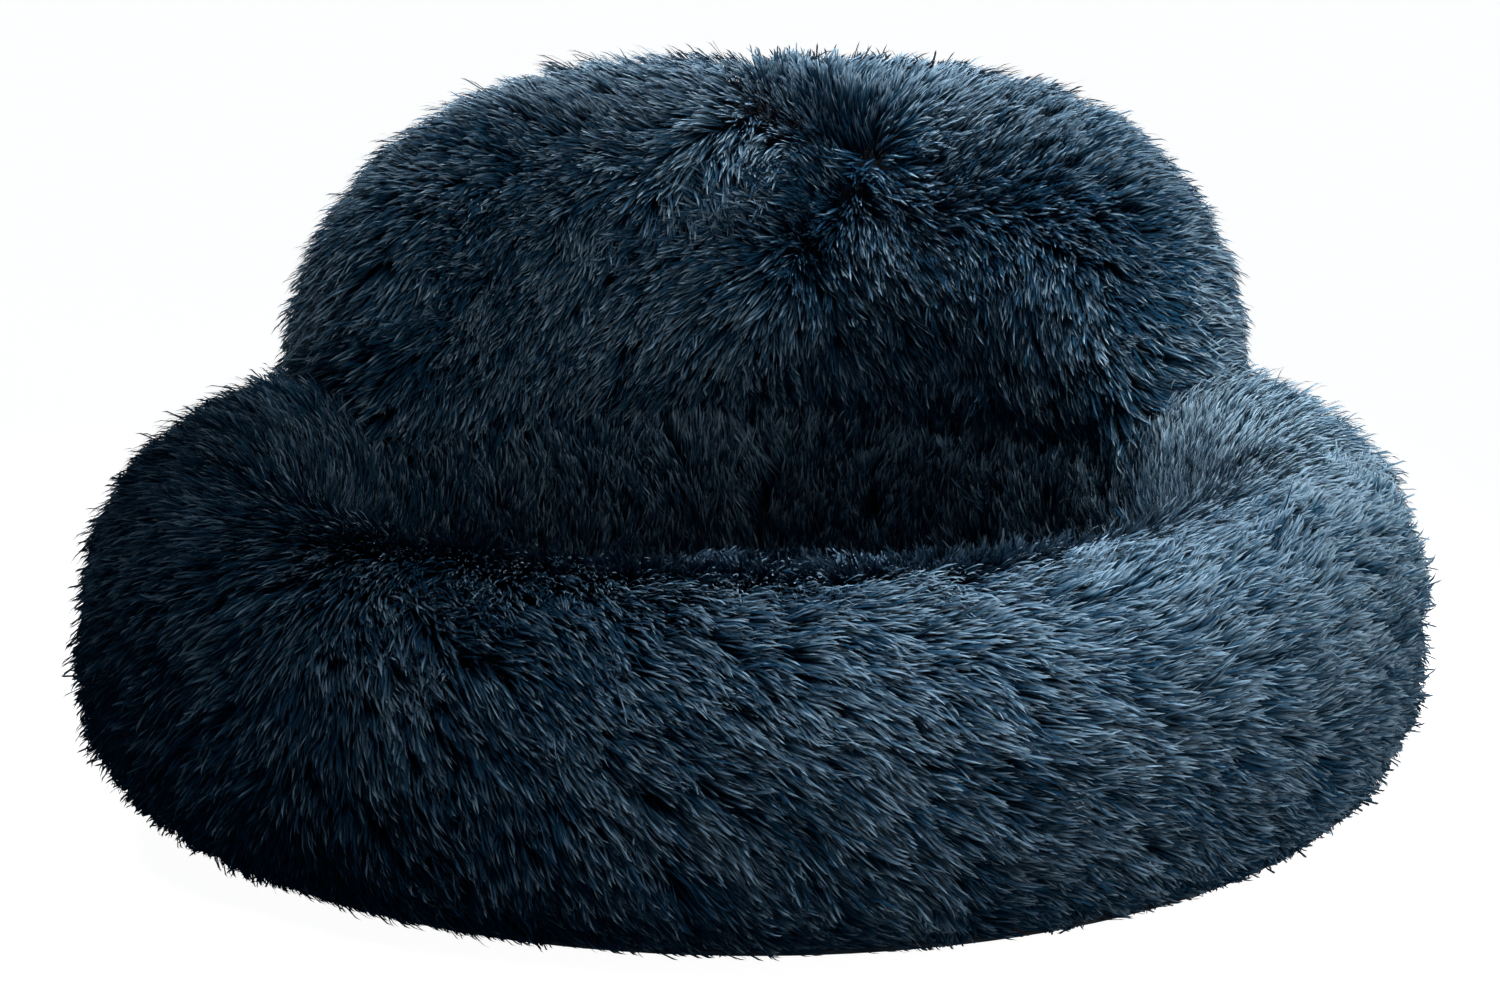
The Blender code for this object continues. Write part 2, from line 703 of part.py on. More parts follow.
def make_pull(group, cutters, metal):
    """The pull lies back over the closed chain, its pin under the bail and its fork beside it."""
    half = PULL_THICKNESS / 2.0
    head = PULL_HEAD_WIDTH / 2.0
    wide = PULL_WIDTH / 2.0
    neck = PULL_EYE_LENGTH + BAIL_WIRE
    side = [
        (PULL_PIN_RADIUS, head), (-neck, head), (-neck - wide, wide), (-PULL_LENGTH + wide, wide),
        (-PULL_LENGTH, wide / 2.0),
    ]
    outline = side + [(x, -y) for x, y in reversed(side)]
    pull = prism("zip_pull", outline, -half, half, group, metal)

    eye = BAIL_WIRE / 2.0 + SLIDER_CLEARANCE
    over = CUT_OVERRUN
    slot = [(-PULL_EYE_LENGTH, -eye), (over, -eye), (over, eye), (-PULL_EYE_LENGTH, eye)]
    combine(pull, prism("pull_eye", slot, -over, over, cutters), "DIFFERENCE")

    bm = bmesh.new()
    turn = Matrix.Rotation(math.pi / 2.0, 4, "X")
    bmesh.ops.create_cone(
        bm, cap_ends=True, segments=PIN_SIDES, radius1=PULL_PIN_RADIUS, radius2=PULL_PIN_RADIUS,
        depth=(eye + head), matrix=turn,
    )
    combine(pull, add_object("pull_pin", bm, cutters), "UNION")

    bm = bmesh.new()
    place = Matrix.Translation((-PULL_LENGTH + wide, 0.0, 0.0))
    bmesh.ops.create_cone(
        bm, cap_ends=True, segments=PIN_SIDES, radius1=PULL_HOLE_RADIUS, radius2=PULL_HOLE_RADIUS,
        depth=over, matrix=place,
    )
    combine(pull, add_object("pull_hole", bm, cutters), "DIFFERENCE")
    return pull


def make_zip(group, cutters, tape, plastic, metal):
    make_chain(group, tape, plastic, metal)
    known = set(cutters.objects)
    slider = make_slider(group, cutters, metal)
    slider_tools = set(cutters.objects) - known
    pull = make_pull(group, cutters, metal)
    pull_tools = set(cutters.objects) - known - slider_tools

    track = bpy.data.objects.new("zip_track_axis", None)
    group.objects.link(track)
    hinge = bpy.data.objects.new("pull_axis", None)
    group.objects.link(hinge)
    frame = slider_frame()
    lifted = frame @ Matrix.Translation((0.0, 0.0, pull_pivot_height()))
    hinge.parent = track
    hinge.matrix_local = lifted
    slider.parent = track
    slider.matrix_local = frame
    pull.parent = hinge
    for tool in slider_tools:
        tool.matrix_world = frame
    for tool in pull_tools:
        tool.matrix_world = lifted


def main():
    clear_scene()
    group = new_collection("donut_pet_bed")
    cutters = new_collection("cutters")
    fur = finish("shag_fur", FUR_COLOUR, 0.9)
    plush = finish("short_plush", PLUSH_COLOUR, 0.95)
    liner = finish("liner_cloth", LINER_COLOUR, 0.9)
    fibre = finish("fibre_filling", FIBRE_COLOUR, 1.0)
    cloth = finish("base_cloth", BASE_COLOUR, 0.8)
    tape = finish("zip_tape", TAPE_COLOUR, 0.85)
    plastic = finish("zip_teeth", TOOTH_COLOUR, 0.4)
    metal = finish("zip_metal", METAL_COLOUR, 0.35, 0.9)
    make_ring(group, cutters, fur, liner, fibre)
    make_backrest(group, cutters, fur, liner, fibre)
    make_seat(group, plush, liner, fibre)
    make_base(group, cutters, cloth, tape)
    make_zip(group, cutters, tape, plastic, metal)


main()
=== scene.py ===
"""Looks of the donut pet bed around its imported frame: shag fur, plush seat, base cloth and zip."""
import math

import bpy
import numpy as np
from mathutils import Matrix, Vector
from mathutils.kdtree import KDTree


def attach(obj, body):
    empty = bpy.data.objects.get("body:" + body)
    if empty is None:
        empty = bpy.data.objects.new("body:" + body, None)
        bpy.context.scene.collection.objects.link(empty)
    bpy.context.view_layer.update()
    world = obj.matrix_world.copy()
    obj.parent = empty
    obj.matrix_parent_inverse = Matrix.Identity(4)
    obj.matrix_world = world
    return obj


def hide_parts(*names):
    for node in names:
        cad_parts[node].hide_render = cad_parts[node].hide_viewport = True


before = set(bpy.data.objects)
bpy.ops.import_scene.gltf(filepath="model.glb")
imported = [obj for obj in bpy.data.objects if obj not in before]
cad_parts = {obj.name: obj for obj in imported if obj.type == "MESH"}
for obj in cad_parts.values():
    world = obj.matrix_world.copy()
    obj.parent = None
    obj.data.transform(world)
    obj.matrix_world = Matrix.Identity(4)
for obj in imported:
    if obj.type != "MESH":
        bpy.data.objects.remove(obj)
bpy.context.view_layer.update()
bpy.ops.object.select_all(action="DESELECT")

# Photo booth. A long lens looks into the nest from the front, a little above the ring's crown.
# Gridded soft boxes light the right side, the crown and the backrest, and weaker ones the rear.
# Little light reaches the left of the ring and its front foot, which fall into shade.
def booth_object(name, data, place, aim):
    """A camera or a lamp at a place, pointed at its aim."""
    item = bpy.data.objects.new(name, data)
    item.location = place
    item.rotation_euler = (Vector(aim) - item.location).to_track_quat("-Z", "Y").to_euler()
    bpy.context.scene.collection.objects.link(item)
    return item


camera_data = bpy.data.cameras.new("booth_camera")
camera_data.lens = 104.07
bpy.context.scene.camera = booth_object(
    "booth_camera", camera_data, (0.0766, -2.8347, 0.8957), (-0.0024, 0.0, 0.1856))


def soft_box(name, place, aim, size, spread, power, tint=(1.0, 1.0, 1.0)):
    """A round soft box. Its grid keeps the light within that angle, in degrees."""
    data = bpy.data.lights.new(name, "AREA")
    data.shape = "DISK"
    data.size = size
    data.spread = math.radians(spread)
    data.energy = power
    data.color = tint
    booth_object(name, data, place, aim)


warm, mild, faint = (1.0, 0.90, 0.82), (1.0, 0.92, 0.84), (1.0, 0.94, 0.90)
soft_box("side_light", (1.60, -0.90, 0.50), (0.38, -0.05, 0.20), 0.9, 40.0, 1.9, warm)
soft_box("front_light", (0.30, -1.00, 1.80), (0.19, -0.30, 0.12), 0.8, 30.0, 2.75)
soft_box("low_light", (0.60, -2.00, 0.25), (0.25, -0.45, 0.08), 0.5, 26.0, 0.08)
soft_box("edge_light", (0.25, -0.20, 2.00), (0.18, -0.30, 0.22), 0.2, 20.0, 0.80)
soft_box("crown_light", (0.30, -0.90, 1.70), (0.38, 0.06, 0.22), 0.15, 14.0, 0.68, mild)
soft_box("top_light", (0.30, 0.10, 2.20), (0.20, 0.30, 0.44), 0.3, 20.0, 1.30)
soft_box("rear_light", (-0.50, 0.75, 2.10), (-0.12, 0.34, 0.42), 0.3, 20.0, 1.70, faint)
soft_box("back_light", (-0.90, 1.10, 1.50), (-0.05, 0.34, 0.42), 0.3, 26.0, 2.0, faint)
soft_box("heel_light", (0.35, 1.70, 0.55), (0.04, 0.40, 0.06), 0.6, 34.0, 1.1)
soft_box("flank_light", (-1.00, 1.60, 0.70), (-0.32, 0.24, 0.12), 0.5, 30.0, 0.9)


class Finish:
    """A material in the making. Sums and products of its values add Math nodes."""

    def __init__(self, tree, socket=None):
        self.tree = tree
        self.socket = socket

    def node(self, kind, settings=None, inputs=None, outlet=0):
        made = self.tree.nodes.new(kind)
        for name, value in (settings or {}).items():
            if name == "stops":
                ramp = made.color_ramp
                while len(ramp.elements) > 1:
                    ramp.elements.remove(ramp.elements[0])
                for i, (place, colour) in enumerate(value):
                    stop = ramp.elements[0] if i == 0 else ramp.elements.new(place)
                    stop.position = place
                    stop.color = (*colour, 1.0)
            else:
                setattr(made, name, value)
        for name, value in (inputs or {}).items():
            socket = made.inputs[name]
            if isinstance(value, Finish):
                self.tree.links.new(value.socket, socket)
            else:
                socket.default_value = value
        return Finish(self.tree, made.outputs[outlet] if len(made.outputs) else None)

    def maths(self, operation, *values):
        return self.node("ShaderNodeMath", {"operation": operation}, dict(enumerate(values)))

    def __add__(self, other):
        return self.maths("ADD", self, other)

    def __sub__(self, other):
        return self.maths("SUBTRACT", self, other)

    def __rsub__(self, other):
        return self.maths("SUBTRACT", other, self)

    def __mul__(self, other):
        return self.maths("MULTIPLY", self, other)

    __radd__ = __add__
    __rmul__ = __mul__

    def axes(self):
        """The piece's own x, y and z in metres."""
        place = self.node("ShaderNodeTexCoord", outlet=3)
        apart = self.node("ShaderNodeSeparateXYZ", None, {0: place})
        return [Finish(self.tree, socket) for socket in apart.socket.node.outputs]

    def noise(self, scale, detail=3.0):
        """Cloudy values from 0 to 1, that many to a metre."""
        place = self.node("ShaderNodeTexCoord", outlet=3)
        return self.node("ShaderNodeTexNoise", None, {"Vector": place, "Scale": scale, "Detail": detail})

    def wave(self, pitch):
        """A ripple along this value, from -1 to 1."""
        return self.maths("SINE", self * (math.tau / pitch))

    def past(self, low, high):
        """0 before low and 1 after high, with a soft step between them."""
        return self.node(
            "ShaderNodeMapRange", {"interpolation_type": "SMOOTHSTEP"},
            {"Value": self, "From Min": low, "From Max": high})

    def mixed(self, first, second):
        """Two colours mixed by this value."""
        first, second = (
            (*colour, 1.0) if isinstance(colour, tuple) else colour for colour in (first, second))
        return self.node(
            "ShaderNodeMix", {"data_type": "RGBA"}, {"Factor": self, 6: first, 7: second}, 2)

    def relief(self, depth):
        """This value as raised and sunk detail, that many metres deep."""
        return self.node("ShaderNodeBump", None, {"Height": self, "Distance": depth})

    def finished(self, inputs):
        shader = self.node("ShaderNodeBsdfPrincipled", None, inputs)
        self.node("ShaderNodeOutputMaterial", None, {"Surface": shader})


def new_material(name):
    """An empty material and the maker of its nodes."""
    material = bpy.data.materials.new(name)
    material.use_nodes = True
    material.node_tree.nodes.clear()
    return material, Finish(material.node_tree)


floor_material, paint = new_material("booth_floor")
paint.finished({
    "Base Color": (0.25, 0.25, 0.26, 1.0), "Roughness": 0.9, "Emission Color": (1.0, 1.0, 1.0, 1.0),
    "Emission Strength": 0.97})
bpy.ops.mesh.primitive_plane_add(size=60.0)
floor = bpy.context.object
floor.name = "booth_floor"
floor.data.materials.append(floor_material)
floor.visible_diffuse = False
floor.visible_glossy = False
world = bpy.context.scene.world or bpy.data.worlds.new("booth_air")
bpy.context.scene.world = world
world.use_nodes = True
world.node_tree.nodes["Background"].inputs["Color"].default_value = (0.48, 0.76, 1.0, 1.0)
world.node_tree.nodes["Background"].inputs["Strength"].default_value = 0.085
bpy.context.scene.view_settings.view_transform = "Standard"

# Base cloth. A dished panel of coated polyester, its edge turned up to the seam, with moulded
# rubber grips fused to its underside. Small grip points are printed all over that side.
RING_RADIUS, RING_HALF_WIDTH, RING_HALF_HEIGHT = 0.361, 0.089, 0.118
GAP = 0.0003
BASE_FLOOR, BASE_TOP, BASE_EDGE = 0.0012, 0.0042, 0.0140
BASE_THICKNESS = 0.003
REAR = math.radians(90.0)


def ring_fullness(across, up):
    """The power that shapes the ring's section: over its crown, at its outer and its inner foot."""
    return np.where(up >= 0.0, 2.09, np.where(across >= 0.0, 2.42, 4.0))


def ring_section(turn):
    """Radius, height and outward normal at the tips of the ring's pile, around its section."""
    across, up = np.cos(turn), np.sin(turn)
    fullness = ring_fullness(across, up)
    x = np.abs(across) ** (2.0 / fullness)
    z = np.abs(up) ** (2.0 / fullness)
    slope_x = np.sign(across) * x ** (fullness - 1.0) / RING_HALF_WIDTH
    slope_z = np.sign(up) * z ** (fullness - 1.0) / RING_HALF_HEIGHT
    length = np.hypot(slope_x, slope_z)
    radius = RING_RADIUS + RING_HALF_WIDTH * np.sign(across) * x
    height = RING_HALF_HEIGHT * (1.0 + np.sign(up) * z)
    return radius, height, slope_x / length, slope_z / length


def spun(name, profile, steps, material, start=0.0, angle=math.tau):
    """A closed profile of (radius, height) points spun about the bed's middle."""
    bpy.ops.object.select_all(action="DESELECT")
    bpy.ops.mesh.primitive_circle_add(vertices=len(profile))
    item = bpy.context.object
    item.name = item.data.name = name
    for vertex, (radius, height) in zip(item.data.vertices, profile):
        vertex.co = (radius * math.cos(start), radius * math.sin(start), height)
    bpy.ops.object.mode_set(mode="EDIT")
    bpy.ops.mesh.select_all(action="SELECT")
    bpy.ops.mesh.spin(steps=steps, angle=angle, center=(0.0, 0.0, 0.0), axis=(0.0, 0.0, 1.0))
    bpy.ops.mesh.select_all(action="SELECT")
    bpy.ops.mesh.remove_doubles(threshold=0.00002)
    if angle < math.tau:
        bpy.ops.mesh.fill_holes(sides=0)
    bpy.ops.mesh.normals_make_consistent(inside=False)
    bpy.ops.object.mode_set(mode="OBJECT")
    bpy.ops.object.shade_smooth_by_angle(angle=math.radians(50.0))
    item.data.materials.append(material)
    return item


def fitted(item, node=None):
    """Gives a piece its body, and hides the CAD solid that it stands for, if one is given."""
    if node:
        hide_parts(node)
    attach(item, "bed")
    return item


base_cloth, coat = new_material("base_cloth")
x, y, z = coat.axes()
threads = x.wave(0.0016) * y.wave(0.0016) + z.wave(0.0016) * 0.5
points = (x.wave(0.007) + y.wave(0.007)).past(1.45, 1.70) * z.past(0.0040, 0.0024)
dust = coat.noise(35.0, 6.0)
weave = (threads * 0.5 + 0.5).mixed((0.0055, 0.0080, 0.0120), (0.0150, 0.0195, 0.0270))
coat.finished({
    "Base Color": points.mixed(weave, (0.026, 0.029, 0.034)),
    "Roughness": 0.86 - points * 0.25 + dust * 0.10,
    "Normal": (threads * 0.16 + points * 0.7).relief(0.0004)})
turns = np.linspace(-math.pi / 2.0, 0.0, 240)
radius, height, out, up = ring_section(turns)


def dish_line(depth, low):
    """The dish's wall at a depth, from its flat up to its edge."""
    r, h = radius - out * depth, height - up * depth
    heights = np.linspace(low, BASE_EDGE, 12)
    return np.stack([np.interp(heights, h, r), heights], -1)


inside, outside = dish_line(BASE_THICKNESS, BASE_TOP), dish_line(0.0, BASE_FLOOR)
dish = [(0.0, BASE_TOP), *inside, *outside[::-1], (0.0, BASE_FLOOR)]
base = fitted(spun("base_dish", dish, 144, base_cloth), "base_panel")
flat = outside[0, 0]

rubber, tread = new_material("grip_rubber")
scuff = tread.noise(220.0, 6.0).past(0.45, 0.75)
tread.finished({
    "Base Color": scuff.mixed((0.018, 0.019, 0.021), (0.052, 0.052, 0.051)),
    "Roughness": 0.55 + scuff * 0.25, "Normal": (scuff + tread.noise(1500.0)).relief(0.00008)})
GRIP_SPACING, GRIP_SIZE = 0.120, 0.014
bpy.ops.object.select_all(action="DESELECT")
bpy.ops.mesh.primitive_cylinder_add(
    vertices=24, radius=0.0068, depth=0.0016, location=(0.0, 0.0, 0.0010))
grip = bpy.context.object
bpy.ops.object.mode_set(mode="EDIT")
bpy.ops.mesh.select_all(action="SELECT")
bpy.ops.mesh.bevel(offset=0.0005, segments=2, affect="EDGES")
bpy.ops.object.mode_set(mode="OBJECT")
bpy.ops.object.transform_apply(location=True)
stud = grip.data
rows = int(flat / GRIP_SPACING) + 1
places = [
    (GRIP_SPACING * (column + 0.5 * (row % 2)), GRIP_SPACING * row * math.sqrt(3.0) / 2.0)
    for row in range(-rows, rows + 1) for column in range(-rows - 1, rows + 2)]
for x, y in places:
    if math.hypot(x, y) + GRIP_SIZE < flat:
        copy = bpy.data.objects.new("grip", stud.copy())
        copy.data.transform(Matrix.Translation((x, y, 0.0)))
        bpy.context.scene.collection.objects.link(copy)
        copy.select_set(True)
bpy.data.objects.remove(grip)
bpy.context.view_layer.objects.active = bpy.context.selected_objects[0]
bpy.ops.object.join()
grips = bpy.context.object
grips.name = grips.data.name = "base_grips"
grips.data.materials.append(rubber)
bpy.ops.object.shade_smooth_by_angle(angle=math.radians(50.0))
fitted(grips)

# Seam binding. A ribbed tape folded over the raw edges of fur and base cloth, and sewn down with
# one line of lockstitch in a slightly lighter thread.
SEAM_RADIUS = outside[-1, 0] - 0.0015
STITCH_HEIGHT = 0.0168
TAPE_HEIGHT, TAPE_HALF_THICKNESS = 0.005, 0.0011
ZIP_HALF_SPAN = math.radians(30.0)
binding, rib = new_material("seam_binding")
x, y, z = rib.axes()
around = rib.maths("ARCTAN2", y, x) * SEAM_RADIUS
ribs = around.wave(0.0011)
line = rib.maths("ABSOLUTE", z - STITCH_HEIGHT).past(0.00055, 0.00030)
stitch = around.wave(0.0036).past(-0.75, -0.45) * line
tape = (ribs * 0.5 + 0.5).mixed((0.0060, 0.0100, 0.0180), (0.0180, 0.0280, 0.0440))
rib.finished({
    "Base Color": stitch.mixed(tape, (0.050, 0.070, 0.098)), "Roughness": 0.72 - stitch * 0.18,
    "Normal": (ribs * 0.35 + stitch * 1.2 - line * 0.5 + rib.noise(900.0) * 0.2).relief(0.0004)})
low, high = BASE_EDGE + GAP, BASE_EDGE + GAP + TAPE_HEIGHT


def boxed(value):
    """A sine or cosine changed so that a circle's points make a box with round corners."""
    return math.copysign(abs(value) ** 0.5, value)


band = [
    (SEAM_RADIUS + TAPE_HALF_THICKNESS * boxed(math.cos(t)),
     (low + high) / 2.0 + (high - low) / 2.0 * boxed(math.sin(t)))
    for t in np.linspace(0.0, math.tau, 17)[:-1]]
start = REAR + ZIP_HALF_SPAN + GAP / SEAM_RADIUS
angle = math.tau - 2.0 * (ZIP_HALF_SPAN + GAP / SEAM_RADIUS)
edge_tape = spun("seam_tape", band, 120, binding, start, angle)
fitted(edge_tape, "base_seam_binding")

# Zip. Two herringbone tapes carry moulded teeth, with metal stops at both ends and a die-cast
# slider whose pull swings on the bail. It opens the base seam at the rear, under the fur's edge,
# and no lock hangs lower than ZIP_TOP along ZIP_SPAN to each side of the rear.
ZIP_TOP = 0.0335
ZIP_SPAN = math.radians(31.0)


def refinish(material, *names):
    """Gives CAD nodes a better material."""
    for name in names:
        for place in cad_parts[name].material_slots:
            place.material = material


def eased(name, node, body, material, width):
    """A copy of a CAD part with its edges rounded, in the part's place."""
    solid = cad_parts[node]
    item = bpy.data.objects.new(name, solid.data.copy())
    item.data.name = name
    bpy.context.scene.collection.objects.link(item)
    bpy.ops.object.select_all(action="DESELECT")
    item.select_set(True)
    bpy.context.view_layer.objects.active = item
    bpy.ops.object.mode_set(mode="EDIT")
    bpy.ops.mesh.select_all(action="SELECT")
    bpy.ops.mesh.remove_doubles(threshold=0.000005)
    bpy.ops.mesh.dissolve_limited(angle_limit=math.radians(2.0))
    bpy.ops.object.mode_set(mode="OBJECT")
    item.data.materials.clear()
    item.data.materials.append(material)
    edge = item.modifiers.new("rounded", "BEVEL")
    edge.width = width
    edge.segments = 2
    edge.limit_method = "ANGLE"
    edge.angle_limit = math.radians(35.0)
    edge.use_clamp_overlap = True
    bpy.ops.object.modifier_apply(modifier=edge.name)
    bpy.ops.object.shade_smooth_by_angle(angle=math.radians(40.0))
    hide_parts(node)
    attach(item, body)


tape_cloth, twill = new_material("zip_tape")
x, y, z = twill.axes()
around = twill.maths("ARCTAN2", y, x) * SEAM_RADIUS
bones = (around + twill.maths("PINGPONG", z, 0.0011) * 1.2).wave(0.00075)
tape = (bones * 0.5 + 0.5).mixed((0.0080, 0.0150, 0.0270), (0.0240, 0.0390, 0.0620))
twill.finished({
    "Base Color": tape, "Roughness": 0.78 + bones * 0.06,
    "Normal": (bones * 0.5 + twill.noise(1200.0) * 0.3).relief(0.00022)})
refinish(tape_cloth, "zip_tape_lower", "zip_tape_upper")

teeth, moulding = new_material("zip_teeth")
grain = moulding.noise(1500.0, 4.0)
rubbed = moulding.noise(160.0, 2.0).past(0.50, 0.80)
moulding.finished({
    "Base Color": rubbed.mixed((0.0240, 0.0330, 0.0480), (0.0430, 0.0540, 0.0700)),
    "Roughness": 0.26 + rubbed * 0.16 + grain * 0.08, "Normal": grain.relief(0.00004)})
refinish(teeth, "zip_teeth_lower", "zip_teeth_upper")

metal, cast = new_material("zip_metal")
x, y, z = cast.axes()
scratch = cast.node(
    "ShaderNodeTexNoise", None,
    {"Vector": cast.node("ShaderNodeCombineXYZ", None, {0: x * 500.0, 1: y * 500.0, 2: z * 9000.0}),
     "Scale": 1.0, "Detail": 4.0})
dull = cast.noise(2500.0, 4.0).past(0.30, 0.85)
cast.finished({
    "Base Color": dull.mixed((0.36, 0.37, 0.39), (0.32, 0.325, 0.34)), "Metallic": 1.0,
    "Roughness": 0.26 + dull * 0.05 + scratch * 0.12,
    "Normal": (scratch * 0.5 + dull * 0.2).relief(0.00003)})
eased("slider_body", "zip_slider", "slider", metal, 0.00022)
eased("slider_pull", "zip_pull", "pull", metal, 0.00018)
for end in ("zip_top_stop_lower", "zip_top_stop_upper", "zip_bottom_stop"):
    eased(end + "_clip", end, "bed", metal, 0.00025)

# Ring bag. White bonded cloth holds siliconised polyester fibre, which is stuffed in hard enough
# to stand. Its upper part is sewn to a flat ring of the same cloth below.
PILE = 0.020
CLOTH = 0.0015


def pile_depth(height):
    """The pile is pressed thin where the fur runs into the base seam."""
    pressed, fades_over = 0.0035, 0.060
    share = np.clip((height - BASE_TOP) / fades_over, 0.0, 1.0)
    return pressed + (PILE - pressed) * share * share * (3.0 - 2.0 * share)


def ring_line(extra, count=64):
    """Points of (radius, height) around the ring's section, that deep under its pile."""
    turns = np.linspace(-math.pi / 2.0, 1.5 * math.pi, count + 1)[:-1]
    radius, height, out, up = ring_section(turns)
    depth = pile_depth(height) + extra
    return np.stack([radius - out * depth, height - up * depth], -1)


fibre, carded = new_material("fibre_filling")
wisps = carded.noise(140.0, 8.0)
lumps = carded.noise(28.0, 2.0)
carded.finished({
    "Base Color": wisps.past(0.30, 0.72).mixed((0.62, 0.62, 0.60), (0.90, 0.90, 0.88)),
    "Roughness": 0.92, "Sheen Weight": 0.3,
    "Normal": (wisps * 0.6 + lumps * 1.6).relief(0.0030)})
bag_cloth, bonded = new_material("liner_cloth")
x, y, z = bonded.axes()
around = bonded.maths("ARCTAN2", y, x) * RING_RADIUS
slanted = z + bonded.maths("PINGPONG", x + y, 0.004) * 0.3
pressed = (around.wave(0.0026) * slanted.wave(0.0026)).past(0.35, 0.75)
web = bonded.noise(700.0, 6.0)
bonded.finished({
    "Base Color": web.past(0.3, 0.7).mixed((0.70, 0.70, 0.68), (0.84, 0.84, 0.82)),
    "Roughness": 0.80 - pressed * 0.2, "Normal": (web * 0.3 - pressed * 0.8).relief(0.0003)})

LAYER = BASE_TOP + GAP + CLOTH + GAP
core = ring_line(CLOTH + 2.0 * GAP)
core[:, 1] = np.maximum(core[:, 1], LAYER)
ring_filling = spun("ring_fibre", core, 120, fibre)
fitted(ring_filling, "ring_filling")
outer, inner = ring_line(GAP, 240), ring_line(GAP + CLOTH, 90)
low, high = BASE_TOP + GAP, BASE_TOP + GAP + CLOTH
foot = outer[outer[:, 1] > low]
near, far = foot[-1, 0] + 0.0008, foot[0, 0] - 0.0008
outer = outer[::3]
outer, inner = outer[outer[:, 1] > LAYER], inner[inner[:, 1] > LAYER]
ring_bag = spun("ring_bag", np.concatenate([outer, inner[::-1]]), 120, bag_cloth)
fitted(ring_bag, "ring_liner_upper")
ring_sheet = spun("ring_bag_floor", [(near, low), (far, low), (far, high), (near, high)], 120, bag_cloth)
fitted(ring_sheet, "ring_liner_lower")
far - near
math.pi * (far + near)

# Ring cover. A sleeve of dark knit tufted with long shag. The fibres stick together in pointed
# locks, and the locks in tufts, brushed up the nest's wall, out over the crown and down outside.
OUTER_HEM, INNER_HEM = 0.0196, 0.045
RING_LOCKS = 34000


def smooth_noise(points, scale, seed):
    """A soft random value from about -1 to 1, with bumps of that size in metres."""
    waves = 10
    chance = np.random.default_rng(seed)
    total = np.zeros(len(points))
    for _ in range(waves):
        way = chance.normal(size=3)
        way *= chance.uniform(0.6, 1.5) * math.tau / scale / np.linalg.norm(way)
        total += np.sin(points @ way + chance.uniform(0.0, math.tau))
    return total / math.sqrt(waves / 2.0) * 0.7


def unit(vectors):
    """The vectors at length 1."""
    return vectors / np.maximum(np.linalg.norm(vectors, axis=-1, keepdims=True), 1e-9)


def scatter(grid, count, seed):
    """Points spread evenly over a grid of surface points, and the surface's normals there.

    Two steady steps of an irrational length keep the points apart, with no clumps or rows."""
    along = grid[1:, :-1] - grid[:-1, :-1]
    around = grid[:-1, 1:] - grid[:-1, :-1]
    area = np.linalg.norm(np.cross(along, around), axis=-1) + 1e-12
    steps = np.arange(count) + 1.0
    chance = np.random.default_rng(seed)
    first = np.mod(0.7548776662 * steps + chance.uniform(), 1.0)
    second = np.mod(0.5698402910 * steps + chance.uniform(), 1.0)
    rows = np.concatenate([[0.0], np.cumsum(area.sum(1))])
    rows /= rows[-1]
    i = np.clip(np.searchsorted(rows, first, side="right") - 1, 0, len(area) - 1)
    a = (first - rows[i]) / (rows[i + 1] - rows[i])
    cells = np.concatenate([np.zeros((len(area), 1)), np.cumsum(area, 1)], 1)
    cells /= cells[:, -1:]
    line = cells[i]
    j = np.clip((line <= second[:, None]).sum(1) - 1, 0, area.shape[1] - 1)
    low, high = line[np.arange(count), j], line[np.arange(count), j + 1]
    b = (second - low) / (high - low)
    a, b = a[:, None], b[:, None]
    p00, p10, p01, p11 = grid[i, j], grid[i + 1, j], grid[i, j + 1], grid[i + 1, j + 1]
    points = p00 * (1 - a) * (1 - b) + p10 * a * (1 - b) + p01 * (1 - a) * b + p11 * a * b
    normals = unit(np.cross(p10 - p00 + p11 - p01, p01 - p00 + p11 - p10))
    return points, normals


def over_zip(points):
    """Whether points lie in the stretch at the rear where no lock may hang into the zip."""
    rear = np.abs(np.arctan2(points[:, 0], points[:, 1])) < ZIP_SPAN
    return rear & (np.hypot(points[:, 0], points[:, 1]) > RING_RADIUS)


def gathered(points, size, seed):
    """For every lock, the middle of the tuft that it belongs to, and that tuft's number.

    size: how many locks a tuft holds."""
    chance = np.random.default_rng(seed)
    picked = chance.permutation(len(points))[: max(1, int(len(points) / size))]
    middles = KDTree(len(points))
    for number, index in enumerate(picked):
        middles.insert(points[index], number)
    middles.balance()
    tuft = np.array([middles.find(point)[1] for point in points])
    return points[picked][tuft], tuft


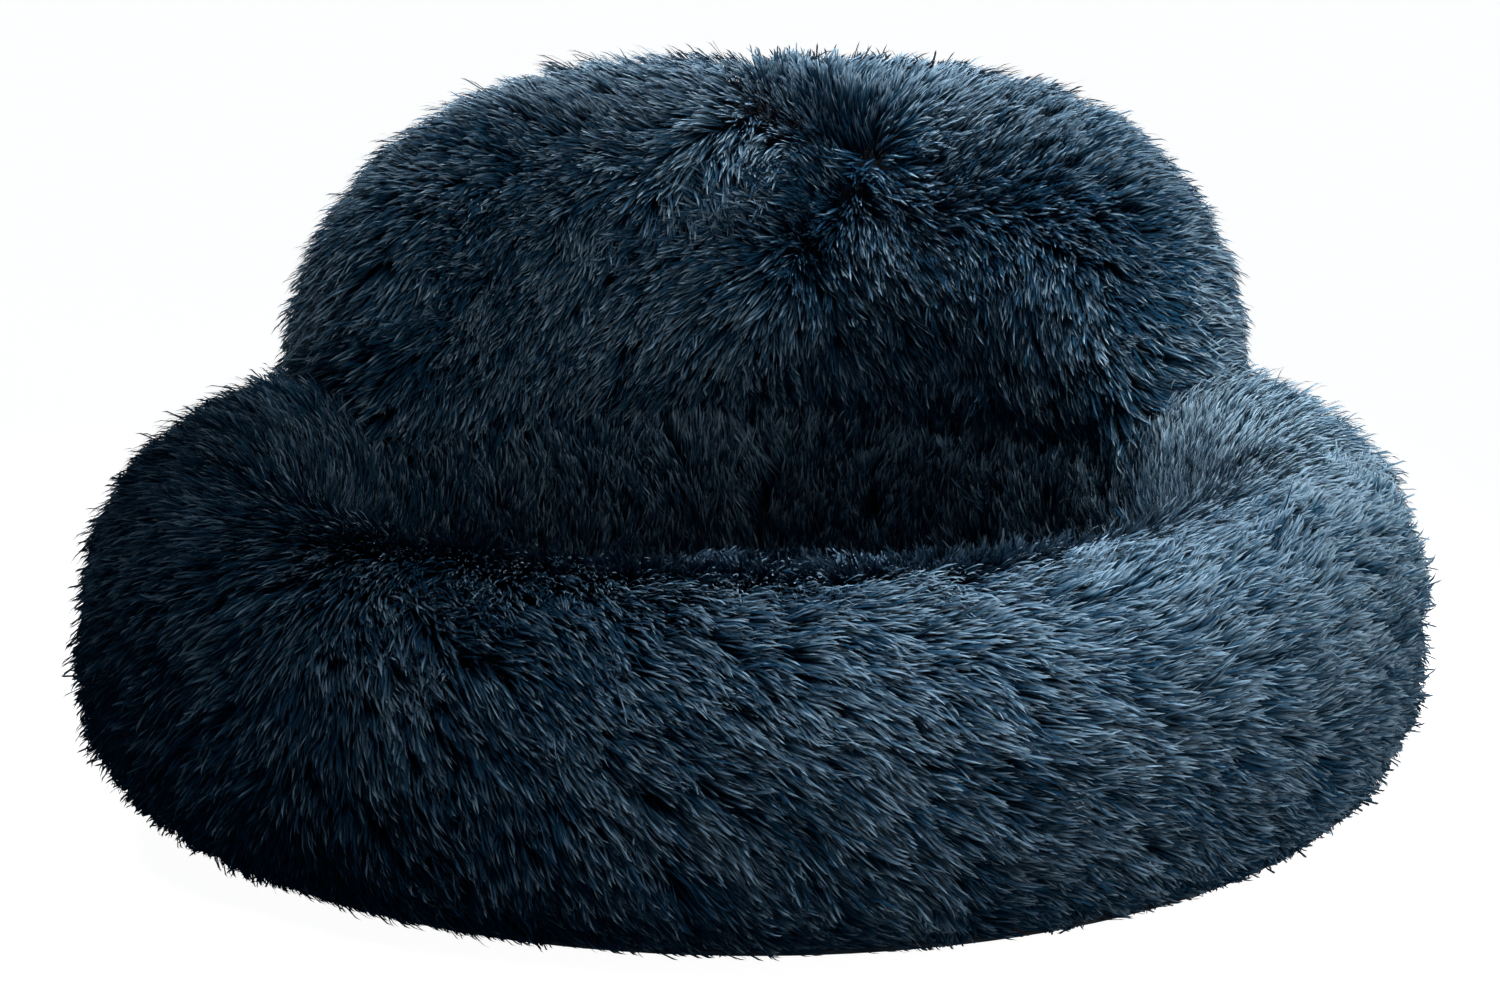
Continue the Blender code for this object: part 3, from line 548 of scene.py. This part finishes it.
def make_locks(name, roots, normals, flow, depth, look, seed, bright, settle=None, swell=0.0):
    """Locks of fur as one mesh: clumps of fibres whose tips draw together.

    look: fibres to a lock, its size, a fibre's half width, how far a lock lies over.
    settle: moves tips to stand out from a form by a length. swell: extra depth of the pile."""
    fibres, clump, width, lie = look
    chance = np.random.default_rng(seed)
    count = len(roots)
    # Locks differ, and the locks of a tuft share part of their tone, turn and rise.
    middles, tuft = gathered(roots, size=11.0, seed=seed + 7)
    tuft_tone = chance.normal(0.0, 0.07, count)[tuft]
    tuft_turn = chance.normal(0.0, 0.13, count)[tuft]
    tuft_rise = chance.uniform(0.88, 1.12, count)[tuft]
    across = unit(np.cross(normals, flow))
    rise = depth * chance.uniform(0.80, 1.18, count) * tuft_rise + swell
    reach = lie * chance.uniform(0.75, 1.25, count)
    spin = chance.normal(0.0, 0.14, count) + tuft_turn
    flow = unit(flow * np.cos(spin)[:, None] + across * np.sin(spin)[:, None])
    across = unit(np.cross(normals, flow))
    pull = (middles - roots) * chance.uniform(0.05, 0.38, count)[:, None]
    # bright brings painted light and shade, added to the tone that differs at random.
    tone = bright + tuft_tone + chance.normal(0.0, 0.10, count)

    def each(values):
        """A lock's value for each of its fibres."""
        return np.repeat(values, fibres, axis=0)

    # Fibres start around the lock's root and bend towards its tip. 9 in 100 are guard hairs, which
    # reach past the others.
    total = count * fibres
    roots, normals, flow, across, pull = (each(v) for v in (roots, normals, flow, across, pull))
    rise, reach, tone = each(rise), each(reach), each(tone)
    turn = chance.uniform(0.0, math.tau, total)
    spread = clump * np.sqrt(chance.uniform(size=total))
    offset = flow * (np.cos(turn) * spread)[:, None] + across * (np.sin(turn) * spread)[:, None]
    guard = chance.uniform(size=total) < 0.09
    rise = rise * chance.uniform(0.70, 1.10, total) * np.where(guard, 1.26, 1.0)
    reach = reach * chance.uniform(0.70, 1.30, total) * np.where(guard, 1.20, 1.0)
    draw = chance.uniform(0.30, 0.80, total)
    start = roots + offset
    fall = chance.normal(0.0, 0.0019, (total, 3))
    curl = each(chance.normal(0.0, 0.0014, count)) + chance.normal(0.0, 0.0011, total)
    middle = start + normals * (0.75 * rise)[:, None] + flow * (0.22 * reach)[:, None]
    middle += across * curl[:, None] + pull * 0.3
    tip = roots + offset * draw[:, None] + normals * rise[:, None] + flow * reach[:, None] + fall + pull
    if settle:
        tip = settle(tip, rise - each(depth))
    low = 0.0012 + 0.002 * chance.uniform(size=total)
    low = np.where(over_zip(tip), ZIP_TOP + 2.0 * low, low)
    middle[:, 2] = np.maximum(middle[:, 2], low)
    tip[:, 2] = np.maximum(tip[:, 2], low)

    # Each fibre is a blade of six points: its root, two pairs along its bend, and its tip. The
    # chart holds its shade across and the way from root to tip upwards, for the material.
    roll = chance.normal(0.0, 0.45, total)
    half = width * chance.uniform(0.65, 1.35, total)
    # Fibres differ less where the tone is raised, as by painted light.
    contrast = 0.26 * (1.0 - 2.0 * np.clip(tone, 0.0, 0.25))
    shade = np.clip(0.50 + contrast * chance.normal(size=total) + tone, 0.03, 0.97)
    verts, uvs = [start], [np.stack([shade, np.zeros(total)], -1)]
    for step, size in ((0.42, 0.80), (0.88, 0.95)):
        line = start * (1 - step) ** 2 + middle * 2 * step * (1 - step) + tip * step ** 2
        along = unit((middle - start) * (1 - step) + (tip - middle) * step)
        blade = across * np.cos(roll)[:, None] + normals * np.sin(roll)[:, None]
        side = unit(blade - along * (blade * along).sum(-1, keepdims=True)) * (half * size)[:, None]
        for sign in (-1.0, 1.0):
            verts.append(line + side * sign)
            uvs.append(np.stack([shade + 0.01 * sign, np.full(total, step)], -1))
    verts.append(tip)
    uvs.append(np.stack([shade, np.ones(total)], -1))
    points = np.stack(verts, 1).reshape(-1, 3)
    places = np.stack(uvs, 1)

    faces = [(0, 1, 2), (2, 1, 3, 4), (4, 3, 5)]
    corner_order = np.array([corner for face in faces for corner in face])
    corners = ((np.arange(total) * 6)[:, None] + corner_order[None, :]).ravel()
    loop_sizes = np.tile([len(face) for face in faces], total)
    loop_starts = np.concatenate([[0], np.cumsum(loop_sizes)[:-1]])

    mesh = bpy.data.meshes.new(name)
    mesh.vertices.add(len(points))
    mesh.vertices.foreach_set("co", points.astype(np.float32).ravel())
    mesh.loops.add(len(corners))
    mesh.loops.foreach_set("vertex_index", corners.astype(np.int32))
    mesh.polygons.add(len(loop_sizes))
    mesh.polygons.foreach_set("loop_start", loop_starts.astype(np.int32))
    mesh.polygons.foreach_set("loop_total", loop_sizes.astype(np.int32))
    chart = mesh.uv_layers.new(name="OFBake")
    chart.data.foreach_set("uv", places[:, corner_order].reshape(-1).astype(np.float32))
    mesh.update(calc_edges=True)
    mesh.shade_smooth()
    item = bpy.data.objects.new(name, mesh)
    bpy.context.scene.collection.objects.link(item)
    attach(item, "bed")
    return item


def fur_material(name, root, low, high, painted_highlight):
    """Fibre colour from root to tip along a lock, with some fibres dark and some bright."""
    material, dye = new_material(name)
    chart = dye.node("ShaderNodeUVMap", {"uv_map": "OFBake"})
    chart = dye.node("ShaderNodeSeparateXYZ", None, {0: chart})
    shade, along = (Finish(dye.tree, socket) for socket in chart.socket.node.outputs[:2])
    streak_place = dye.node("ShaderNodeCombineXYZ", None, {0: shade * 300.0, 1: along * 3.0})
    streak = dye.node("ShaderNodeTexNoise", None, {"Vector": streak_place, "Scale": 1.0, "Detail": 2.0})
    reach = along + (streak - 0.5) * 0.22
    # Both ramps start dark, as painted shade deep in the pile at the fibres' roots.
    bright = dye.node(
        "ShaderNodeValToRGB", {"stops": ((0.0, root), (0.40, low), (0.72, high), (1.0, painted_highlight))},
        {"Fac": reach})
    dull = dye.node(
        "ShaderNodeValToRGB", {"stops": ((0.0, root), (0.35, root), (0.80, low), (1.0, low))},
        {"Fac": reach})
    # The bright ramp ends in a painted highlight on the tips, standing in for the specular, which is off.
    dye.finished({
        "Base Color": shade.past(0.05, 0.98).mixed(dull, bright), "Roughness": 0.50,
        "Specular IOR Level": 0.0})
    return material


# The first colour is painted shade at the roots, and the last a painted highlight on bright tips.
fur = fur_material(
    "shag_fur", (0.0005, 0.0050, 0.0140), (0.0050, 0.0235, 0.0490), (0.0350, 0.0750, 0.1160),
    (0.165, 0.245, 0.320))
knit, yarn = new_material("fur_backing")
x, y, z = yarn.axes()
loops = (x + y).wave(0.0018) * z.wave(0.0014)
yarn.finished({
    "Base Color": (loops * 0.5 + 0.5).mixed((0.0015, 0.0035, 0.0075), (0.0050, 0.0115, 0.0200)),
    "Roughness": 0.95, "Normal": (loops + yarn.noise(900.0)).relief(0.0004)})

sleeve = ring_line(0.0, 72)
sleeve[:, 1] = np.maximum(sleeve[:, 1], BASE_TOP + GAP)
ring_cover = spun("ring_sleeve", sleeve, 144, knit)
fitted(ring_cover, "ring_cover")

rounds = np.linspace(0.0, math.tau, 481)
line = ring_line(0.0, 360)
line = np.concatenate([line, line[:1]])
ring_grid = np.stack([
    line[:, 0] * np.cos(rounds)[:, None], line[:, 0] * np.sin(rounds)[:, None],
    np.repeat(line[None, :, 1], len(rounds), 0)], -1)


def settle_on_ring(points, stand):
    """Moves points so that they stand proud of the ring's form by that much."""
    out = np.hypot(points[:, 0], points[:, 1])
    side, up = out - RING_RADIUS, points[:, 2] - RING_HALF_HEIGHT
    fullness = ring_fullness(side, up)
    level = np.abs(side / RING_HALF_WIDTH) ** fullness + np.abs(up / RING_HALF_HEIGHT) ** fullness
    level = np.maximum(level, 1e-6) ** (1.0 / fullness)
    length = np.hypot(side, up)
    scale = (length / level + stand) / np.maximum(length, 1e-6)
    radius = RING_RADIUS + side * scale
    return np.stack([
        points[:, 0] / out * radius, points[:, 1] / out * radius, RING_HALF_HEIGHT + up * scale], -1)


def in_ring(points, inset):
    """Whether points lie inside the ring's form, inset by that much."""
    side = np.hypot(points[:, 0], points[:, 1]) - RING_RADIUS
    up = points[:, 2] - RING_HALF_HEIGHT
    fullness = ring_fullness(side, up)
    x = np.abs(side) / (RING_HALF_WIDTH - inset)
    z = np.abs(up) / (RING_HALF_HEIGHT - inset)
    return x ** fullness + z ** fullness < 1.0


BACK_RADIUS, BACK_FOOT, BACK_HALF_RISE, BACK_HALF_DEPTH = 0.326, 0.164, 0.137, 0.078
BACK_SPAN = math.radians(66.1)
BACK_LEAN = 0.078


def back_envelope(share):
    """How much of the backrest's height is left, from 1 at its middle to 0 at its ends.

    Its right end is a little fuller than its left."""
    fullness = np.where(share > 0.0, 3.20, 2.80)
    return np.maximum(1.0 - np.abs(share) ** fullness, 1e-9) ** (1.0 / fullness)


def in_back(points, inset):
    """Whether points lie inside the backrest's form, inset by that much."""
    angle = np.arctan2(points[:, 0], points[:, 1])
    share = np.clip(angle / (BACK_SPAN - inset / BACK_RADIUS), -1.0, 1.0)
    envelope = back_envelope(share)
    up = (points[:, 2] - BACK_FOOT) / envelope - BACK_HALF_RISE
    middle = BACK_RADIUS + BACK_LEAN * (points[:, 2] - BACK_FOOT)
    out = np.hypot(points[:, 0], points[:, 1]) - middle
    x = out / ((BACK_HALF_DEPTH - inset) * np.sqrt(envelope))
    return (x * x + (up / (BACK_HALF_RISE - inset)) ** 2 < 1.0) & (np.abs(share) < 1.0)


def ring_flow(points, normals):
    """The way the ring's pile is brushed: out from a parting at the front left, and down."""
    x, y, z = points.T
    out = np.hypot(x, y)
    around = np.stack([-y / out, x / out, np.zeros(len(x))], -1)
    nap = unit(np.cross(around, normals))
    front = np.clip(0.5 - y / 0.30, 0.0, 1.0) * np.clip((out - RING_RADIUS + 0.02) / 0.05, 0.0, 1.0)
    right = np.clip((x + 0.12) / 0.34, 0.0, 1.0)
    drift = 0.75 * np.tanh((x + 0.262) / 0.055) * front
    drift += 0.22 * smooth_noise(points, 0.22, 5)
    down = 0.80 - 0.58 * right * front + 0.5 * np.clip(0.9 - z / 0.09, 0.0, 1.0)
    down -= 0.34 * right * front * np.clip((z - 0.10) / 0.09, 0.0, 1.0)
    down += 0.14 * smooth_noise(points, 0.16, 6)
    flow = around * drift[:, None] + nap * down[:, None]
    flow += 0.17 * np.stack([smooth_noise(points, 0.05, s) for s in (11, 12, 13)], -1)
    return unit(flow - normals * (flow * normals).sum(-1, keepdims=True))


points, normals = scatter(ring_grid, RING_LOCKS, 100)
inner = np.hypot(points[:, 0], points[:, 1]) < RING_RADIUS
keep = points[:, 2] > np.where(inner, INNER_HEM, OUTER_HEM)
keep &= ~(over_zip(points) & (points[:, 2] < ZIP_TOP))
keep &= ~in_back(points, 0.022)
points, normals = points[keep], normals[keep]
depths = pile_depth(points[:, 2]) * (1.0 + 0.12 * smooth_noise(points, 0.11, 61))

# The pile is fuller over the ring's right rear and at its lower left.
around = np.degrees(np.arctan2(points[:, 1], points[:, 0]))
swell = 0.009 * np.exp(-((around - 25.0) / 22.0) ** 2) * np.clip((points[:, 2] - 0.14) / 0.06, 0.0, 1.0)
swell += 0.008 * np.exp(-((np.mod(around, 360.0) - 205.0) / 34.0) ** 2) * np.exp(
    -((points[:, 2] - 0.07) / 0.05) ** 2)
flow = ring_flow(points, normals)

# Painted light and shade: fibres brighter on the crown's right, darker on the left and towards the foot.
bright = 0.08 * smooth_noise(points, 0.09, 62) - 0.12 * np.clip(1.0 - points[:, 2] / 0.08, 0.0, 1.0)
bright += 0.22 * np.clip((points[:, 2] - 0.14) / 0.06, 0.0, 1.0) * np.clip(points[:, 0] / 0.30, -0.4, 1.0)
shaded = np.clip((0.05 - points[:, 0]) / 0.30, 0.0, 1.0)
bright -= 0.15 * shaded * (1.0 + 1.3 * np.clip((0.17 - points[:, 2]) / 0.06, 0.0, 1.0))
bright -= 0.12 * np.clip(1.0 - points[:, 2] / 0.12, 0.0, 1.0)
SECTORS = 8
RING_LOOK = (11, 0.0060, 0.00060, 0.0255)
turns = np.mod(np.arctan2(points[:, 1], points[:, 0]), math.tau)
sector = np.floor(turns / math.tau * SECTORS)
for number in range(SECTORS):
    here = sector == number
    item = make_locks(
        f"ring_fur_{number + 1}", points[here], normals[here], flow[here], depths[here],
        RING_LOOK, 101 + number, bright[here], settle_on_ring, swell[here])
    item.data.materials.append(fur)

# Backrest. A half-moon bolster sewn on over the ring's rear half. It has its own bag and fibre.
# Its front gives in a shallow hollow near the top, and the pile is brushed out from a crease there.
def back_surface(share, turn, inset):
    """Points of the backrest's form, inset below the tips of its pile."""
    envelope = back_envelope(share)
    angle = share * (BACK_SPAN - inset / BACK_RADIUS)
    height = BACK_FOOT + envelope * (BACK_HALF_RISE + (BACK_HALF_RISE - inset) * np.sin(turn))
    depth = (BACK_HALF_DEPTH - inset) * np.sqrt(envelope)
    radius = BACK_RADIUS + depth * np.cos(turn) + BACK_LEAN * (height - BACK_FOOT)
    beside = (angle * BACK_RADIUS - 0.038) / 0.060
    above = (height - 0.385) / 0.075
    radius += 0.010 * np.maximum(0.0, -np.cos(turn)) * np.exp(-beside ** 2 - above ** 2)
    return np.stack([radius * np.sin(angle), radius * np.cos(angle), height], -1)


def back_piece(name, inset, lift, material, keep=None):
    """A closed skin of the backrest's form, resting on the ring, or only its foot or the rest."""
    bpy.ops.object.select_all(action="DESELECT")
    bpy.ops.mesh.primitive_uv_sphere_add(segments=96, ring_count=84)
    item = bpy.context.object
    item.name = item.data.name = name
    spots = np.array([vertex.co for vertex in item.data.vertices])
    places = back_surface(spots[:, 2], np.arctan2(spots[:, 1], spots[:, 0]), inset)
    low = in_ring(places, -lift)
    places[low] = settle_on_ring(places[low], np.full(low.sum(), lift))
    item.data.vertices.foreach_set("co", places.astype(np.float32).ravel())
    bpy.ops.object.mode_set(mode="EDIT")
    bpy.ops.mesh.select_all(action="SELECT")
    bpy.ops.mesh.normals_make_consistent(inside=False)
    bpy.ops.mesh.select_mode(type="FACE")
    bpy.ops.mesh.select_all(action="DESELECT")
    bpy.ops.object.mode_set(mode="OBJECT")
    if keep:
        for face in item.data.polygons:
            face.select = bool(all(low[corner] for corner in face.vertices)) != (keep == "foot")
        bpy.ops.object.mode_set(mode="EDIT")
        bpy.ops.mesh.delete(type="FACE")
        bpy.ops.object.mode_set(mode="OBJECT")
        wall = item.modifiers.new("cloth", "SOLIDIFY")
        wall.thickness = CLOTH
        wall.offset = -1.0
        bpy.ops.object.modifier_apply(modifier=wall.name)
    bpy.ops.object.shade_smooth_by_angle(angle=math.radians(50.0))
    item.data.materials.append(material)
    return item


back_filling = back_piece("backrest_fibre", PILE + CLOTH + 2.0 * GAP, CLOTH + 3.0 * GAP, fibre)
fitted(back_filling, "backrest_filling")
back_bag = back_piece("backrest_bag", PILE + GAP, CLOTH + 2.0 * GAP, bag_cloth, "rest")
fitted(back_bag, "backrest_liner_upper")
back_floor = back_piece("backrest_bag_floor", PILE + GAP, CLOTH + GAP, bag_cloth, "foot")
fitted(back_floor, "backrest_liner_base")
back_cover = back_piece("backrest_sleeve", PILE, GAP, knit)
fitted(back_cover, "backrest_cover")


def settle_on_back(points, stand):
    """Moves the tips of locks so that they stand proud of the backrest's form by that much."""
    angle = np.arctan2(points[:, 0], points[:, 1])
    share = np.clip(angle / BACK_SPAN, -0.985, 0.985)
    envelope = back_envelope(share)
    middle = BACK_FOOT + envelope * BACK_HALF_RISE
    up = points[:, 2] - middle
    out = np.hypot(points[:, 0], points[:, 1])
    core = BACK_RADIUS + BACK_LEAN * (points[:, 2] - BACK_FOOT)
    side = out - core
    level = np.hypot(side / (BACK_HALF_DEPTH * np.sqrt(envelope)), up / (BACK_HALF_RISE * envelope))
    length = np.hypot(side, up)
    scale = np.where(np.abs(share) < 0.98, (length / level + stand) / np.maximum(length, 1e-6), 1.0)
    radius = core + side * scale
    return np.stack([
        points[:, 0] / out * radius, points[:, 1] / out * radius, middle + up * scale], -1)


CREASE = (
    (-0.006, 0.408), (0.030, 0.392), (0.060, 0.368), (0.057, 0.345), (0.046, 0.322), (0.026, 0.298))


def from_crease(points):
    """How far points lie from the crease in the backrest's front, and the way from it."""
    bends = np.array(CREASE)
    steps = np.linspace(0.0, len(bends) - 1.0, 60)
    line = np.stack([np.interp(steps, np.arange(len(bends)), bends[:, k]) for k in (0, 1)], -1)
    apart = points[:, None, (0, 2)] - line[None]
    gap = np.linalg.norm(apart, axis=-1)
    nearest = gap.argmin(1)
    rows = np.arange(len(points))
    return gap[rows, nearest], apart[rows, nearest]


def back_flow(points, normals):
    """The backrest's pile is brushed out from the crease near its top, on the back simply down."""
    x, y, z = points.T
    gap, apart = from_crease(points)
    flow = np.stack([apart[:, 0], np.zeros(len(x)), apart[:, 1]], -1) / (gap + 0.012)[:, None]
    flow[:, 0] += x * 1.2
    flow[:, 2] += np.clip((z - 0.36) / 0.10, -0.6, 0.8) * np.clip(gap / 0.08, 0.0, 1.0)
    behind = np.clip((np.hypot(x, y) - BACK_RADIUS - 0.030) / 0.03, 0.0, 1.0)[:, None]
    flow = flow * (1.0 - 0.75 * behind) + np.array([0.0, 0.0, -1.0]) * behind
    flow += 0.20 * np.stack([smooth_noise(points, 0.05, s) for s in (21, 22, 23)], -1)
    flow += 0.28 * np.stack([smooth_noise(points, 0.16, s) for s in (24, 25, 26)], -1)
    return unit(flow - normals * (flow * normals).sum(-1, keepdims=True))


BACK_LOCKS = 12400
shares = np.sin(np.linspace(-0.5, 0.5, 241) * math.pi)
circle = np.linspace(0.0, math.tau, 241)
points, normals = scatter(back_surface(shares[:, None], circle[None, :], PILE), BACK_LOCKS, 300)
normals = -normals
keep = ~in_ring(points, 0.008)
points, normals = points[keep], normals[keep]

# At the crease the pile is shorter and lies over less. Painted shade darkens the crease and the front,
# and painted light brightens the top.
gap, _ = from_crease(points)
front = np.hypot(points[:, 0], points[:, 1]) < BACK_RADIUS
pinched = 0.25 * front * np.exp(-(gap / 0.020) ** 2)
depths = PILE * (1.0 + 0.12 * smooth_noise(points, 0.11, 63) - pinched)
bright = 0.32 * np.clip((points[:, 2] - 0.385) / 0.03, 0.0, 1.0)
bright += 0.08 * smooth_noise(points, 0.09, 64) - 0.14 * front * np.exp(-(gap / 0.025) ** 2)
bright -= 0.20 * front * np.clip((0.385 - points[:, 2]) / 0.03, 0.0, 1.0)
flow = back_flow(points, normals)
lie = 0.0245 * np.clip(0.2 + gap / 0.030, 0.3, 1.0)
for number, (low, high) in enumerate(((-2.0, -0.1), (-0.1, 0.1), (0.1, 2.0))):
    here = (points[:, 0] >= low) & (points[:, 0] < high)
    item = make_locks(
        f"backrest_fur_{number + 1}", points[here], normals[here], flow[here], depths[here],
        (11, 0.0060, 0.00062, lie[here]), 310 + number, bright[here], settle_on_back)
    item.data.materials.append(fur)

# Seat pad. A crowned fibre pad in short plush with a cloth underside, its edge drawn in where it
# meets the ring.
seat_line = np.array([
    (0.0, 0.1040), (0.0626, 0.1035), (0.1253, 0.1010), (0.1880, 0.0955), (0.2280, 0.0895),
    (0.2506, 0.0850), (0.2626, 0.0800), (0.2700, 0.0705), (0.2738, 0.0560), (0.2748, 0.0449),
    (0.2790, 0.0320), (0.2855, 0.0186), (0.2950, 0.0100), (0.3020, 0.0064), (0.0, 0.0064)])


def seat_profile(depth):
    """The pad's outline that deep under its plush."""
    line = [(r, h - (depth if h > 0.05 else 0.0)) for r, h in seat_line]
    return [(max(r - (depth if 0.02 < h < 0.08 else 0.0), 0.0), h) for r, h in line]


PLUSH, BACKING = 0.0075, 0.0012
SEAT_LOCKS = 6200
sheet = [(0.0, 0.0045), (0.3000, 0.0045), (0.3000, 0.0057), (0.0, 0.0057)]
seat_floor = spun("seat_underside", sheet, 96, bag_cloth)
fitted(seat_floor, "seat_underlay")
core = [(max(r - BACKING, 0.0), h) for r, h in seat_profile(PLUSH + BACKING)]
seat_filling = spun("seat_fibre", core, 96, fibre)
fitted(seat_filling, "seat_filling")
seat_cover = spun("seat_backing", seat_profile(PLUSH), 96, knit)
fitted(seat_cover, "seat_cover")

# The first colour is painted shade at the roots, and the last a painted highlight on bright tips.
plush = fur_material(
    "short_plush", (0.0010, 0.0030, 0.0070), (0.0060, 0.0160, 0.0320), (0.022, 0.052, 0.088),
    (0.100, 0.160, 0.215))
spans = np.linspace(0.001, 1.0, 60)
rim = np.interp(spans, np.linspace(0.0, 1.0, 10), seat_line[:10, 0])
crown = np.interp(spans, np.linspace(0.0, 1.0, 10), seat_line[:10, 1])
seat_grid = np.stack([
    rim[:, None] * np.cos(rounds)[None, :], rim[:, None] * np.sin(rounds)[None, :],
    np.repeat(crown[:, None] - PLUSH, len(rounds), 1)], -1)
points, normals = scatter(seat_grid, SEAT_LOCKS, 400)
swirl = np.stack([smooth_noise(points, 0.14, s) for s in (31, 32, 33)], -1)
swirl += np.array([0.5, -0.3, 0.0])
swirl = unit(swirl - normals * (swirl * normals).sum(-1, keepdims=True))
seat_pile = make_locks(
    "seat_plush", points, normals, swirl, np.full(len(points), PLUSH),
    (8, 0.0050, 0.00080, 0.011), 410, 0.10 * smooth_noise(points, 0.08, 65))
seat_pile.data.materials.append(plush)
